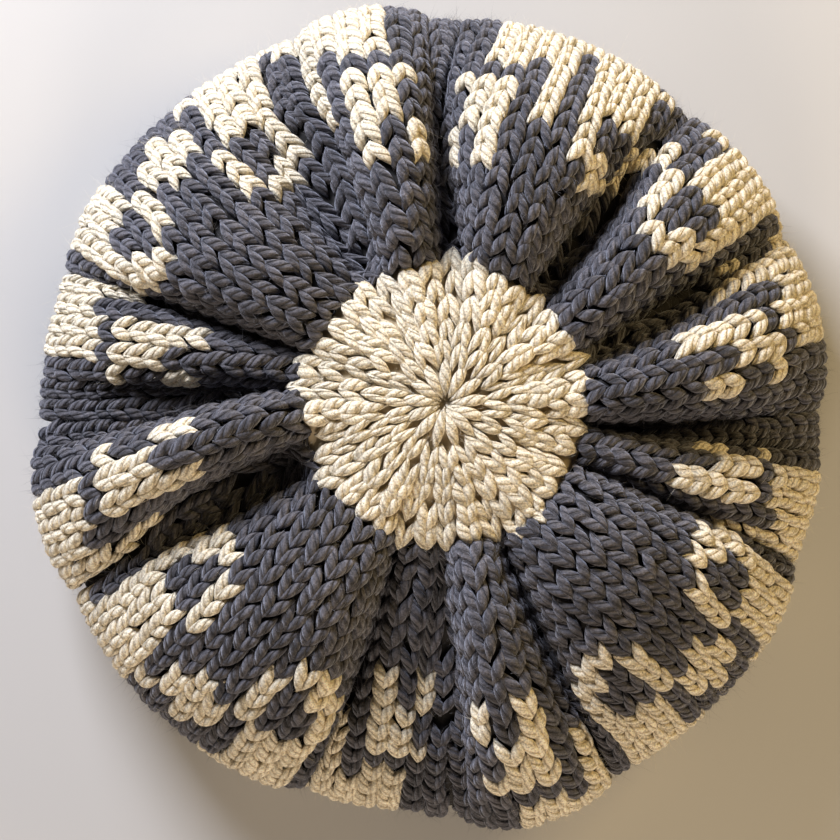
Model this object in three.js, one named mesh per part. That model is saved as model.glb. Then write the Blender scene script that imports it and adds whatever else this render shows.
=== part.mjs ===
// A tam o' shanter, hand-knitted in bulky wool of two colours, resting on its band.
// Millimetres, +Z up. The origin is under the middle of the rim, on the surface that the hat rests on.
// Seen from above, +X is to the right and +Y is away from the viewer.
import * as THREE from "three";
import { mergeVertices } from "three/addons/utils/BufferGeometryUtils.js";

// Driving dimensions
const rimRadius = 127.5; // widest ring of the hat, seen from above
const rimHeight = 28; // height of that ring over the table
const crownHeight = 73; // top of the pleats
const discRadius = 44.5; // cream disc in the middle of the crown
const discRise = 4.2; // how far the disc's middle stands over its edge
const crownShift = new THREE.Vector2(3.9, 3.6); // the disc lies this far from the middle of the rim
const pleatDepth = 24; // from the top of a pleat down to the floor of the valley beside it
const droopHeight = 7.5; // lowest line of the sagging underside
const bandRadius = 84; // outside of the ribbed band
const bandHeight = 24;
const bodyWall = 5; // thickness of the knitting in the body
const discWall = 4.5;
const bandWall = 4.5;
const ribCount = 42; // knit one, purl one, round the band
const ribDepth = 1.6;
const seamGap = 0.3; // clearance between neighbouring pieces

// Colours of the two yarns
const creamWool = new THREE.MeshStandardMaterial({ color: "#dccfb2", roughness: 0.95, metalness: 0 });
const charcoalWool = new THREE.MeshStandardMaterial({ color: "#4d4f58", roughness: 0.95, metalness: 0 });
const ribbingWool = new THREE.MeshStandardMaterial({ color: "#45474f", roughness: 0.95, metalness: 0 });

// The pleats, counterclockwise from +X round the middle of the disc.
// near, middle, rim: the pleat's two edges in degrees, beside the disc, at middleShare and at the rim.
// height: its top, as a share of pleatDepth over the valley floor. peak: how far its top leans to one edge.
// square: how boxy its section is. valley: depth share of the valley after it. reach: its share of rimRadius.
const middleShare = 0.42;
const pleats = [
  { near: [-6, 14], middle: [-3, 19.5], rim: [0.5, 26.2], height: 1, peak: 0, square: 2.4, valley: 1, reach: 0.995 },
  { near: [23, 43], middle: [27, 46.5], rim: [26.8, 49.7], height: 1, peak: 0, square: 2.4, valley: 0.9, reach: 1.005 },
  { near: [55, 81], middle: [55, 87.5], rim: [50.3, 87], height: 1, peak: 0, square: 3, valley: 0.95, reach: 1.0 },
  { near: [93, 113], middle: [93, 111], rim: [93, 111.5], height: 1, peak: 0.1, square: 2.4, valley: 0.75, reach: 1.03 },
  { near: [124, 158], middle: [126, 158.5], rim: [118, 160.3], height: 0.85, peak: 0.25, square: 3.2, valley: 0.9, reach: 1.005 },
  { near: [161, 173], middle: [162, 175], rim: [161, 178], height: 0.5, peak: 0, square: 2.2, valley: 1, reach: 0.99 },
  { near: [175, 193], middle: [183, 198], rim: [186, 207], height: 1, peak: -0.1, square: 2.4, valley: 0.9, reach: 1.015 },
  { near: [209, 249], middle: [209, 250.5], rim: [207.6, 249.7], height: 0.95, peak: 0.2, square: 3.4, valley: 1, reach: 1.01 },
  { near: [253, 268], middle: [254, 264], rim: [250.4, 268], height: 0.3, peak: 0, square: 2.2, valley: 0.95, reach: 1.0 },
  { near: [271.5, 290], middle: [274, 291], rim: [273, 294.2], height: 1, peak: -0.1, square: 2.4, valley: 0.85, reach: 1.05 },
  { near: [294, 334], middle: [295, 335.6], rim: [294.8, 335.2], height: 1, peak: 0, square: 3.4, valley: 0.9, reach: 1.005 },
  { near: [336, 350], middle: [337, 350], rim: [335.8, 353], height: 0.6, peak: 0, square: 2.2, valley: 1, reach: 0.985 },
];

// The wall's section over the top of a pleat, from the disc out to the rim.
// out: share of the way from the disc to the rim. up: share of the height from rimHeight to crownHeight.
// depth: share of pleatDepth that the valleys have there. facing: degrees of the outside from straight up.
const crownSection = [
  { out: 0, up: 0.84, depth: 0.2, facing: 0 },
  { out: 0.042, up: 0.91, depth: 0.54, facing: 0 },
  { out: 0.114, up: 0.967, depth: 0.8, facing: 0 },
  { out: 0.257, up: 1, depth: 0.96, facing: 0 },
  { out: 0.425, up: 0.956, depth: 1, facing: 0 },
  { out: 0.593, up: 0.833, depth: 0.83, facing: 5 },
  { out: 0.737, up: 0.667, depth: 0.58, facing: 15 },
  { out: 0.856, up: 0.444, depth: 0.375, facing: 40 },
  { out: 0.952, up: 0.222, depth: 0.23, facing: 65 },
  { out: 1, up: 0, depth: 0.15, facing: 90 },
];

// The underside, from the rim in to the band. in: share of that way.
// drop: share of the height from rimHeight down to droopHeight. rise: share of the way back up to the seam.
const undersideSection = [
  { in: 0.045, drop: 0.5, rise: 0, depth: 0.12, facing: 115 },
  { in: 0.23, drop: 0.87, rise: 0, depth: 0.1, facing: 150 },
  { in: 0.48, drop: 1, rise: 0, depth: 0.08, facing: 180 },
  { in: 0.73, drop: 1, rise: 0.18, depth: 0.06, facing: 195 },
  { in: 0.91, drop: 1, rise: 0.62, depth: 0.03, facing: 200 },
  { in: 1, drop: 1, rise: 1, depth: 0, facing: 180 },
];
const sectionRows = crownSection.length + undersideSection.length;

// Fineness of the mesh
const samplesPerPleat = 7;
const samplesPerWidePleat = 9;
const widePleat = 30; // degrees at the rim
const outsideSteps = [0, 1, 2, 3, 3.5, 4, 4.5, 5, 5.5, 6, 6.5, 7, 7.5, 8, 8.5, 9, 9.5, 10, 11, 12, 13, 14, 15];
const insideSteps = [15, 14, 13, 12, 11, 10, 9, 8, 7, 6, 5, 4, 3, 2, 1, 0];
const ribSegments = 4;
const leastPleat = 0.35; // a pleat's hollow keeps at least this share of its width
const pleatRoundness = 0.6;
const discRings = [1, 0.78, 0.52, 0.26];
const discCrown = 2.2; // power of the disc's dome: higher is flatter in the middle

const degree = Math.PI / 180;
const seamHeight = bandHeight - bodyWall; // the underside meets the band with its inside flush with the band's top
const lerp = THREE.MathUtils.lerp;

// One edge of a pleat at a share of the way out: a parabola through its three angles.
function edgeAngle(near, middle, rim, out) {
  const bow = ((middle - near) / middleShare - (rim - near)) / (middleShare - 1);
  return near + (rim - near - bow) * out + bow * out * out;
}

// A column of the wall: a place across a pleat (across from -1 to 1) or, between pleats, in the valley after it.
function pleatColumns() {
  const columns = [];
  pleats.forEach((pleat, index) => {
    const wide = pleat.rim[1] - pleat.rim[0] > widePleat;
    const samples = wide ? samplesPerWidePleat : samplesPerPleat;
    for (let i = 0; i < samples; i++) {
      const across = Math.sin(lerp(-90, 90, i / (samples - 1)) * degree);
      columns.push({ index, across, valley: null });
    }
    columns.push({ index, across: null, valley: 0.5 });
  });
  return columns;
}

const neighbour = (index, step) => pleats[(index + step + pleats.length) % pleats.length];

// The two edges of a pleat at a share of the way out, drawn in by the wall for the inside face.
function pleatEdges(index, out, radius, inset) {
  const { near, middle, rim } = pleats[(index + pleats.length) % pleats.length];
  const turn = index >= pleats.length ? 360 : 0;
  const low = edgeAngle(near[0], middle[0], rim[0], out) + turn;
  const high = edgeAngle(near[1], middle[1], rim[1], out) + turn;
  const centre = (low + high) / 2;
  const half = (high - low) / 2;
  const halfWidth = half * degree * radius;
  const keep = Math.max(leastPleat, 1 - inset / halfWidth);
  return [centre - half * keep, centre + half * keep];
}

// Angle, rise over the valley floor (0 to 1) and reach of a column, at a share of the way out.
function foldAt(column, out, radius, inset) {
  const pleat = pleats[column.index];
  const next = neighbour(column.index, 1);
  const before = neighbour(column.index, -1);
  const [low, high] = pleatEdges(column.index, out, radius, inset);
  const floorBefore = 1 - before.valley;
  const floorAfter = 1 - pleat.valley;
  if (column.valley !== null) {
    const [nextLow] = pleatEdges(column.index + 1, out, radius, inset);
    return {
      angle: lerp(high, nextLow, column.valley),
      rise: floorAfter,
      reach: (pleat.reach + next.reach) / 2,
    };
  }
  const side = (column.across + 1) / 2;
  const leaned = column.across - pleat.peak * (1 - column.across ** 2);
  const bump = (1 - Math.abs(leaned) ** pleat.square) ** pleatRoundness;
  const floor = lerp(floorBefore, floorAfter, side);
  const sideReach = lerp((before.reach + pleat.reach) / 2, (pleat.reach + next.reach) / 2, side);
  return {
    angle: lerp(low, high, side),
    rise: lerp(floor, pleat.height, bump),
    reach: lerp(sideReach, pleat.reach, bump),
  };
}

// How far the rim lies from the middle of the disc, in the direction of an angle.
function rimDistance(angle, reach) {
  const way = new THREE.Vector2(Math.cos(angle * degree), Math.sin(angle * degree));
  const radius = rimRadius * reach;
  return Math.sqrt(radius ** 2 - crownShift.cross(way) ** 2) - crownShift.dot(way);
}

// A point of the wall over one station of the section: inset 0 is the outside face, bodyWall the inside face.
// At the two seams the inside lies straight behind the outside, so that the wall ends square.
function wallPoint(column, station, inset) {
  const atSeam = station === 0 || station === sectionRows - 1;
  const crown = station < crownSection.length;
  const row = crown ? crownSection[station] : undersideSection[station - crownSection.length];
  const out = crown ? row.out : 1;
  const roughRadius = lerp(discRadius, rimRadius, out);
  const { angle, rise, reach } = foldAt(column, out, roughRadius, atSeam ? 0 : inset);
  const depth = pleatDepth * row.depth * (1 - rise) + inset;
  const outward = Math.sin(row.facing * degree) * depth;
  const upward = Math.cos(row.facing * degree) * depth;
  const spoke = new THREE.Vector2(Math.cos(angle * degree), Math.sin(angle * degree));
  const rimPoint = spoke.clone().multiplyScalar(rimDistance(angle, reach)).add(crownShift);
  if (crown) {
    const start = discRadius + seamGap / 2;
    const distance = lerp(start, rimDistance(angle, reach), out) - outward;
    const height = lerp(rimHeight, crownHeight, row.up) - upward;
    return new THREE.Vector3(crownShift.x + spoke.x * distance, crownShift.y + spoke.y * distance, height);
  }
  const distance = lerp(rimPoint.length(), bandRadius + seamGap, row.in) - outward;
  const fallen = lerp(rimHeight, droopHeight, row.drop);
  const height = lerp(fallen, seamHeight, row.rise) - upward;
  rimPoint.setLength(distance);
  return new THREE.Vector3(rimPoint.x, rimPoint.y, height);
}

// The curve that one column of the wall follows, from the disc to the band.
function columnCurve(column, inset) {
  const stations = [];
  for (let station = 0; station < sectionRows; station++) stations.push(wallPoint(column, station, inset));
  return new THREE.CatmullRomCurve3(stations, false, "catmullrom", 0.5);
}

// A closed mesh of rings of points, each joined to the next.
// With tube true the last ring meets the first. Otherwise each end ring closes on a point of its own.
function ringSolid(rings, tube, firstPole, lastPole) {
  const count = rings[0].length;
  const points = rings.flat();
  const faces = [];
  const links = tube ? rings.length : rings.length - 1;
  for (let r = 0; r < links; r++) {
    const here = r * count;
    const there = ((r + 1) % rings.length) * count;
    for (let i = 0; i < count; i++) {
      const j = (i + 1) % count;
      faces.push(here + i, there + i, here + j);
      faces.push(here + j, there + i, there + j);
    }
  }
  if (!tube) {
    const first = points.push(firstPole) - 1;
    const last = points.push(lastPole) - 1;
    const end = (rings.length - 1) * count;
    for (let i = 0; i < count; i++) {
      const j = (i + 1) % count;
      faces.push(first, i, j);
      faces.push(last, end + j, end + i);
    }
  }
  const geometry = new THREE.BufferGeometry().setFromPoints(points);
  geometry.setIndex(faces);
  const merged = mergeVertices(geometry);
  merged.computeVertexNormals();
  return merged;
}

// The body: the outside face from the disc to the band, then the inside face back again.
function pleatedBody() {
  const columns = pleatColumns();
  const last = sectionRows - 1;
  const faceRings = (inset, steps) => {
    const curves = columns.map((column) => columnCurve(column, inset));
    return steps.map((step) => curves.map((curve) => curve.getPoint(step / last)));
  };
  const outside = faceRings(0, outsideSteps);
  const inside = faceRings(bodyWall, insideSteps);
  return ringSolid([...outside, ...inside], true);
}

// The disc: a low dome whose edge follows the first row of the body.
function crownDisc() {
  const edge = pleatColumns().map((column) => wallPoint(column, 0, 0));
  const edgeHeight = lerp(rimHeight, crownHeight, crownSection[0].up);
  const middleHeight = edgeHeight + discRise;
  const share = (discRadius - seamGap / 2) / (discRadius + seamGap / 2);
  const ring = (size, lowered) =>
    edge.map((point) => {
      const x = lerp(crownShift.x, point.x, size * share);
      const y = lerp(crownShift.y, point.y, size * share);
      return new THREE.Vector3(x, y, lerp(middleHeight, point.z, size ** discCrown) - lowered);
    });
  const top = [...discRings].reverse().map((size) => ring(size, 0));
  const bottom = discRings.map((size) => ring(size, discWall));
  const topPole = new THREE.Vector3(crownShift.x, crownShift.y, middleHeight);
  const bottomPole = topPole.clone().setZ(middleHeight - discWall);
  return ringSolid([...top, ...bottom], false, topPole, bottomPole);
}

// The band: upright ribs with a plain top edge, where the body is knitted on.
function ribbedBand() {
  const segments = ribCount * ribSegments;
  const ring = (radius, height, furrow) => {
    const points = [];
    for (let i = 0; i < segments; i++) {
      const angle = (i / segments) * 2 * Math.PI;
      const inFurrow = i % ribSegments === 0 ? 1 : 0;
      const distance = radius + furrow * inFurrow;
      points.push(new THREE.Vector3(Math.cos(angle) * distance, Math.sin(angle) * distance, height));
    }
    return points;
  };
  const inner = bandRadius - bandWall;
  return ringSolid(
    [
      ring(bandRadius, bandHeight, 0),
      ring(bandRadius, seamHeight - seamGap, -ribDepth),
      ring(bandRadius, 0, -ribDepth),
      ring(inner, 0, 0),
      ring(inner, bandHeight, 0),
    ],
    true,
  );
}

const tam = new THREE.Group();

function addPiece(name, geometry, material) {
  const piece = new THREE.Mesh(geometry, material);
  piece.name = name;
  tam.add(piece);
}

addPiece("crown_disc", crownDisc(), creamWool);
addPiece("pleated_body", pleatedBody(), charcoalWool);
addPiece("ribbed_band", ribbedBand(), ribbingWool);

export default tam;
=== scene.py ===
# %% [markdown]
# A hand-knitted tam o' shanter in bulky wool of two colours.
#
# The hat is one knitted bag: a ribbed band, a wide body that is gathered into pleats, and a disc in the
# middle of the crown. The part's solids give the walls their true shape. This lesson dresses them in what
# makes knitting look like knitting: thousands of plump V stitches of plied yarn, in rows that follow
# every pleat.

# %% The fixed frame
import math
from collections import namedtuple
from functools import partial

import bmesh
import bpy
import numpy as np
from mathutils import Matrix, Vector


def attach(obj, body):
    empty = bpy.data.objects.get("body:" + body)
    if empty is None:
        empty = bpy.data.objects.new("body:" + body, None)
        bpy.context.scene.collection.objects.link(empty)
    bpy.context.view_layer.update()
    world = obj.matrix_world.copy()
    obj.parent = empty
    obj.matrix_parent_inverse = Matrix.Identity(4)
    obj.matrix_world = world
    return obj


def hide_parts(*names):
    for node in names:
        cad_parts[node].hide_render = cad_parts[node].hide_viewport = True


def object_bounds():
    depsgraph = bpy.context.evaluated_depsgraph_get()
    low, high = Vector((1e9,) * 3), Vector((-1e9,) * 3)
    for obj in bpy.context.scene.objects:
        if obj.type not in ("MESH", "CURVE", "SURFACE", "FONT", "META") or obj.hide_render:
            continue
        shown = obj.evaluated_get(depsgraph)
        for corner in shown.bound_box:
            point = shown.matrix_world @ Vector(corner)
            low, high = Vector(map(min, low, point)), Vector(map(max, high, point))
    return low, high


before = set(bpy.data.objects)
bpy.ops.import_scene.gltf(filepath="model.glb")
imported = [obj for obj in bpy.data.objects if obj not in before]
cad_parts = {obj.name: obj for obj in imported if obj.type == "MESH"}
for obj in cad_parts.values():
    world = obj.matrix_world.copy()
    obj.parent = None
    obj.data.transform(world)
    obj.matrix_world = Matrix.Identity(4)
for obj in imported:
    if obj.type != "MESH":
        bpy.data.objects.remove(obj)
cad_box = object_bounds()
cad_low, cad_high = Vector(cad_box[0]), Vector(cad_box[1])
print("solids span", [round(side * 1000) for side in cad_high - cad_low], "mm")

MM = 0.001
rng = np.random.default_rng(1307)


def add_object(name, data):
    made = bpy.data.objects.new(name, data)
    bpy.context.scene.collection.objects.link(made)
    return made


# %% [markdown]
# The camera looks straight down, as the photograph does. The hat's outline in the photograph gives the
# scale and the framing: its box in pixels is laid over the box of the hat at the height of the rim.
# A long lens from about a metre keeps the crown, which is nearer, from swelling over the rim.

# %% Camera
photo_side = 840
outline_left, outline_right = 32, 826
outline_top, outline_bottom = 10, 826
yarn_proud = 1.6 * MM
camera_height = 0.95
rim_height = 28 * MM

hat_width = cad_high.x - cad_low.x + 2 * yarn_proud
hat_depth = cad_high.y - cad_low.y + 2 * yarn_proud
pixel = (hat_width + hat_depth) / (outline_right - outline_left + outline_bottom - outline_top)
hat_middle = (cad_low + cad_high) / 2
frame_shift_x = (outline_left + outline_right - photo_side) / 2 * pixel
frame_shift_y = (photo_side - outline_top - outline_bottom) / 2 * pixel

camera_data = bpy.data.cameras.new("camera_above")
camera_data.sensor_width = 36
camera_data.lens = camera_data.sensor_width * (camera_height - rim_height) / (photo_side * pixel)
camera = add_object("camera_above", camera_data)
camera.location = (hat_middle.x - frame_shift_x, hat_middle.y - frame_shift_y, camera_height)
bpy.context.scene.camera = camera
print("one photo pixel is", round(pixel / MM, 3), "mm, lens", round(camera_data.lens, 1), "mm")

# %% [markdown]
# The studio: a pale floor, a cool key light from the upper left that rakes across the pleats, and two
# weaker warm lights, from the front and from the right. Three lights were chosen because one alone leaves
# half of the pleats black. Together they shade the pleats as in the photograph, with brown valleys.

# %% Floor, lights and world
lamp_size = 0.4
floor_size = 3


def add_area_light(name, place, power, colour):
    """A square lamp that faces the middle of the frame."""
    data = bpy.data.lights.new(name, "AREA")
    data.shape = "SQUARE"
    data.size = lamp_size
    data.energy = power
    data.color = colour
    light = add_object(name, data)
    light.location = place
    light.rotation_euler = (-Vector(place)).to_track_quat("-Z", "Y").to_euler()
    print(name, power, "W")


def set_inputs(node, values):
    for socket, value in values.items():
        node.inputs[socket].default_value = value


def plain_material(name, colour, roughness):
    material = bpy.data.materials.new(name)
    material.use_nodes = True
    shader = material.node_tree.nodes["Principled BSDF"]
    set_inputs(shader, {"Base Color": (*colour, 1), "Roughness": roughness})
    return material


def new_object(name, mesh, material):
    mesh.materials.append(material)
    return add_object(name, mesh)


floor_bm = bmesh.new()
bmesh.ops.create_grid(floor_bm, x_segments=1, y_segments=1, size=floor_size)
floor_mesh = bpy.data.meshes.new("floor")
floor_bm.to_mesh(floor_mesh)
floor_bm.free()
floor = new_object("floor", floor_mesh, plain_material("pale_floor", (0.62, 0.60, 0.575), 0.8))

add_area_light("key_light", (-0.44, 0.76, 0.47), 18, (0.84, 0.88, 1.0))
add_area_light("front_light", (0, -0.88, 0.47), 5.2, (1.0, 0.84, 0.66))
add_area_light("side_light", (0.76, 0.44, 0.47), 4.6, (1.0, 0.74, 0.33))
world = bpy.data.worlds.new("studio")
world.use_nodes = True
set_inputs(world.node_tree.nodes["Background"], {"Color": (1.0, 0.82, 0.6, 1), "Strength": 0.03})
bpy.context.scene.world = world
bpy.context.scene.view_settings.view_transform = "Standard"

# %% [markdown]
# The pleats. A gathered crown has no regular pleats: each is as wide, as tall and as sharp as the wool
# happened to fall. So each one is a row of a table, with its two edges in degrees beside the disc, part
# of the way out, and at the rim. The same sizes drive the solids. The last column counts the stitches
# that the pleat carries at the rim: they add up to 104, four repeats of the pattern.

# %% Sizes and the table of pleats
rim_radius = 127.5 * MM
crown_height = 73 * MM
disc_radius = 44.5 * MM
disc_rise = 4.2 * MM
crown_shift = np.array([3.9, 3.6]) * MM
pleat_depth = 24 * MM
droop_height = 7.5 * MM
band_radius = 84 * MM
band_height = 24 * MM
body_wall = 5 * MM
band_wall = 4.5 * MM
disc_wall = 4.5 * MM
rib_count = 42
rib_depth = 1.6 * MM
seam_height = band_height - body_wall

Pleat = namedtuple("Pleat", "near middle rim height peak square valley reach stitches")
pleats = [
    Pleat((-6, 14), (-3, 19.5), (0.5, 26.2), 1.0, 0.0, 2.4, 1.0, 0.995, 7),
    Pleat((23, 43), (27, 46.5), (26.8, 49.7), 1.0, 0.0, 2.4, 0.9, 1.005, 6),
    Pleat((55, 81), (55, 87.5), (50.3, 87), 1.0, 0.0, 3.0, 0.95, 1.0, 13),
    Pleat((93, 113), (93, 111), (93, 111.5), 1.0, 0.1, 2.4, 0.75, 1.03, 6),
    Pleat((124, 158), (126, 158.5), (118, 160.3), 0.85, 0.25, 3.2, 0.9, 1.005, 13),
    Pleat((161, 173), (162, 175), (161, 178), 0.5, 0.0, 2.2, 1.0, 0.99, 7),
    Pleat((175, 193), (183, 198), (186, 207), 1.0, -0.1, 2.4, 0.9, 1.015, 7),
    Pleat((209, 249), (209, 250.5), (207.6, 249.7), 0.95, 0.2, 3.4, 1.0, 1.01, 13),
    Pleat((253, 268), (254, 264), (250.4, 268), 0.3, 0.0, 2.2, 0.95, 1.0, 6),
    Pleat((271.5, 290), (274, 291), (273, 294.2), 1.0, -0.1, 2.4, 0.85, 1.05, 7),
    Pleat((294, 334), (295, 335.6), (294.8, 335.2), 1.0, 0.0, 3.4, 0.9, 1.005, 13),
    Pleat((336, 350), (337, 350), (335.8, 353), 0.6, 0.0, 2.2, 1.0, 0.985, 6),
]
middle_share = 0.42
least_pleat = 0.35
pleat_roundness = 0.6
stitches_round_rim = sum(pleat.stitches for pleat in pleats)
print(len(pleats), "pleats carry", stitches_round_rim, "stitches")

# %% [markdown]
# The wall's section runs over the top of a pleat: out from the disc, over the rim, in along the sagging
# underside to the band. depth says how deep the valleys are at each place, as a share of pleat_depth,
# and facing is the direction of the outside, in degrees from straight up.

# %% The section
Crown = namedtuple("Crown", "out up depth facing")
crown_section = [
    Crown(0, 0.84, 0.2, 0),
    Crown(0.042, 0.91, 0.54, 0),
    Crown(0.114, 0.967, 0.8, 0),
    Crown(0.257, 1, 0.96, 0),
    Crown(0.425, 0.956, 1, 0),
    Crown(0.593, 0.833, 0.83, 5),
    Crown(0.737, 0.667, 0.58, 15),
    Crown(0.856, 0.444, 0.375, 40),
    Crown(0.952, 0.222, 0.23, 65),
    Crown(1, 0, 0.15, 90),
]
Underside = namedtuple("Underside", "inward drop rise depth facing")
underside_section = [
    Underside(0.045, 0.5, 0, 0.12, 115),
    Underside(0.23, 0.87, 0, 0.1, 150),
    Underside(0.48, 1, 0, 0.08, 180),
    Underside(0.73, 1, 0.18, 0.06, 195),
    Underside(0.91, 1, 0.62, 0.03, 200),
    Underside(1, 1, 1, 0, 180),
]
last_station = len(crown_section) + len(underside_section) - 1
print("the section has", last_station + 1, "stations")


def lerp(start, end, share):
    return start + (end - start) * share


# %% [markdown]
# A place round the hat is a turn: its whole part is the number of the pleat, and its fraction runs
# across that pleat and then across the valley after it. Because every row and every face of the wall
# uses the same turns, rows of stitches, the cloth behind them and the lining face all fold together.

# %% From a turn to an angle, a rise and a reach
pleat_part = 0.92  # of a turn, before the valley


def edge_angle(pleat_index, side, out):
    """One edge of each pleat in degrees, by a parabola through its three angles."""
    edges = np.array([[pleat.near[side], pleat.middle[side], pleat.rim[side]] for pleat in pleats])
    near, middle, rim = edges[pleat_index % len(pleats)].T
    bow = ((middle - near) / middle_share - (rim - near)) / (middle_share - 1)
    return near + (rim - near - bow) * out + bow * out * out + 360 * (pleat_index // len(pleats))


def pleat_edges(pleat_index, out, inset):
    low = edge_angle(pleat_index, 0, out)
    high = edge_angle(pleat_index, 1, out)
    half = (high - low) / 2
    half_width = np.radians(half) * lerp(disc_radius, rim_radius, out)
    keep = np.maximum(least_pleat, 1 - inset / half_width)
    return (low + high) / 2 - half * keep, (low + high) / 2 + half * keep


def column_of(name):
    return np.array([getattr(pleat, name) for pleat in pleats])


def fold_at(turns, out, inset):
    """Angle in degrees, rise over the valley floor and reach, for an array of turns."""
    index = np.floor(turns).astype(int)
    here, after, before = index % len(pleats), (index + 1) % len(pleats), (index - 1) % len(pleats)
    part = turns - index
    across = np.sin(np.pi / 2 * (2 * np.minimum(part / pleat_part, 1) - 1))
    in_valley = np.clip((part - pleat_part) / (1 - pleat_part), 0, 1)
    low, high = pleat_edges(index, out, inset)
    next_low, _ = pleat_edges(index + 1, out, inset)
    side = (across + 1) / 2
    leaned = across - column_of("peak")[here] * (1 - across**2)
    bump = (1 - np.abs(leaned) ** column_of("square")[here]).clip(0, 1) ** pleat_roundness
    floors = 1 - column_of("valley")
    reach = column_of("reach")
    floor_here = lerp(floors[before], floors[here], side)
    side_reach = lerp((reach[before] + reach[here]) / 2, (reach[here] + reach[after]) / 2, side)
    angle = np.where(part < pleat_part, lerp(low, high, side), lerp(high, next_low, in_valley))
    rise = lerp(floor_here, column_of("height")[here], bump)
    return angle, rise, lerp(side_reach, reach[here], bump)


# %% Stations of the wall
def direction(angle):
    """Level directions at an array of angles in degrees."""
    return np.stack([np.cos(np.radians(angle)), np.sin(np.radians(angle))], axis=-1)


def rim_distance(angle, reach):
    """How far the rim lies from the middle of the disc."""
    way = direction(angle)
    cross = crown_shift[0] * way[:, 1] - crown_shift[1] * way[:, 0]
    dot = crown_shift[0] * way[:, 0] + crown_shift[1] * way[:, 1]
    return np.sqrt((rim_radius * reach) ** 2 - cross**2) - dot


def wall_station(turns, station, inset):
    """Points of the wall over one station of the section, for an array of turns."""
    at_seam = station in (0, last_station)
    crown = station < len(crown_section)
    row = crown_section[station] if crown else underside_section[station - len(crown_section)]
    out = row.out if crown else 1.0
    angle, rise, reach = fold_at(turns, out, 0 if at_seam else inset)
    depth = pleat_depth * row.depth * (1 - rise) + inset
    outward = math.sin(math.radians(row.facing)) * depth
    upward = math.cos(math.radians(row.facing)) * depth
    to_rim = rim_distance(angle, reach)
    if crown:
        distance = lerp(disc_radius, to_rim, out) - outward
        flat = crown_shift + direction(angle) * distance[:, None]
        height = lerp(rim_height, crown_height, row.up) - upward
    else:
        at_rim = crown_shift + direction(angle) * to_rim[:, None]
        rim_length = np.linalg.norm(at_rim, axis=1)
        distance = lerp(rim_length, band_radius, row.inward) - outward
        flat = at_rim * (distance / rim_length)[:, None]
        fallen = lerp(rim_height, droop_height, row.drop)
        height = lerp(fallen, seam_height, row.rise) - upward
    return np.column_stack([flat, np.broadcast_to(height, len(turns))])


def wall_stations(turns, inset):
    return np.stack([wall_station(turns, station, inset) for station in range(last_station + 1)])


def along_section(stations, where):
    """Smooth curves through the stations, at an array of places from 0 to last_station."""
    first = 2 * stations[0] - stations[1]
    last = 2 * stations[-1] - stations[-2]
    padded = np.concatenate([[first], stations, [last]])
    index = np.clip(np.floor(where).astype(int), 0, last_station - 1)
    t = (where - index)[:, None, None]
    a, b, c, d = (padded[index + step] for step in range(4))
    return b + 0.5 * t * (c - a + t * (2 * a - 5 * b + 4 * c - d + t * (3 * (b - c) + d - a)))


# %% [markdown]
# Rows of knitting are all as tall as each other along the top of a pleat. So the section is measured
# there once, and cut into rows of one stitch's height. That is where the count of rows comes from.

# %% Rows along the section
stitch_height = 6.7 * MM
crest_turns = np.arange(len(pleats)) + pleat_part / 2
fine_where = np.linspace(0, last_station, 1501)
crest_lines = along_section(wall_stations(crest_turns, 0), fine_where)
crest_steps = np.linalg.norm(np.diff(crest_lines, axis=0), axis=2).mean(axis=1)
crest_length = np.concatenate([[0], np.cumsum(crest_steps)])
row_count = round(crest_length[-1] / stitch_height)


def where_of_row(row):
    return np.interp(np.asarray(row) / row_count, crest_length / crest_length[-1], fine_where)


rim_row = float(np.interp(len(crown_section) - 1, fine_where, crest_length / crest_length[-1]) * row_count)
print(row_count, "rows, of which", round(rim_row, 1), "lie above the rim")

# %% [markdown]
# Columns of knitting run along each pleat, and the valleys swallow the ones that don't fit: that is what
# gathering does. For every row the cloth is measured from valley to valley, and the pleat's columns are
# spread over it. Where it is too short for all of them, the outer ones vanish in the valley, and where
# the fold is deep, extra columns fill its sides.

# %% A net of stitches over each pleat
net_fineness = 4  # nodes to a stitch
extra_columns = 3
column_margin = extra_columns + 1
row_margin = 1
under_disc = 0.6 * MM
crown_stitch_width = 7.4 * MM
rim_stitch_width = 6.8 * MM
band_stitch_width = 5.0 * MM
most_stitch_width = 7.9 * MM
turn_samples = 260
smoothings = 3


def least_width(row):
    """The width that columns keep where the valleys swallow them, narrower from the pattern on."""
    return np.interp(row, [7, 10, rim_row, row_count],
                     [crown_stitch_width, rim_stitch_width, rim_stitch_width, band_stitch_width])


Net = namedtuple("Net", "points normals count lengths widths")


def net_lines(first, last):
    """Places from one whole stitch to another, in steps of the net."""
    return np.arange(first * net_fineness, last * net_fineness + 1) / net_fineness


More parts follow.
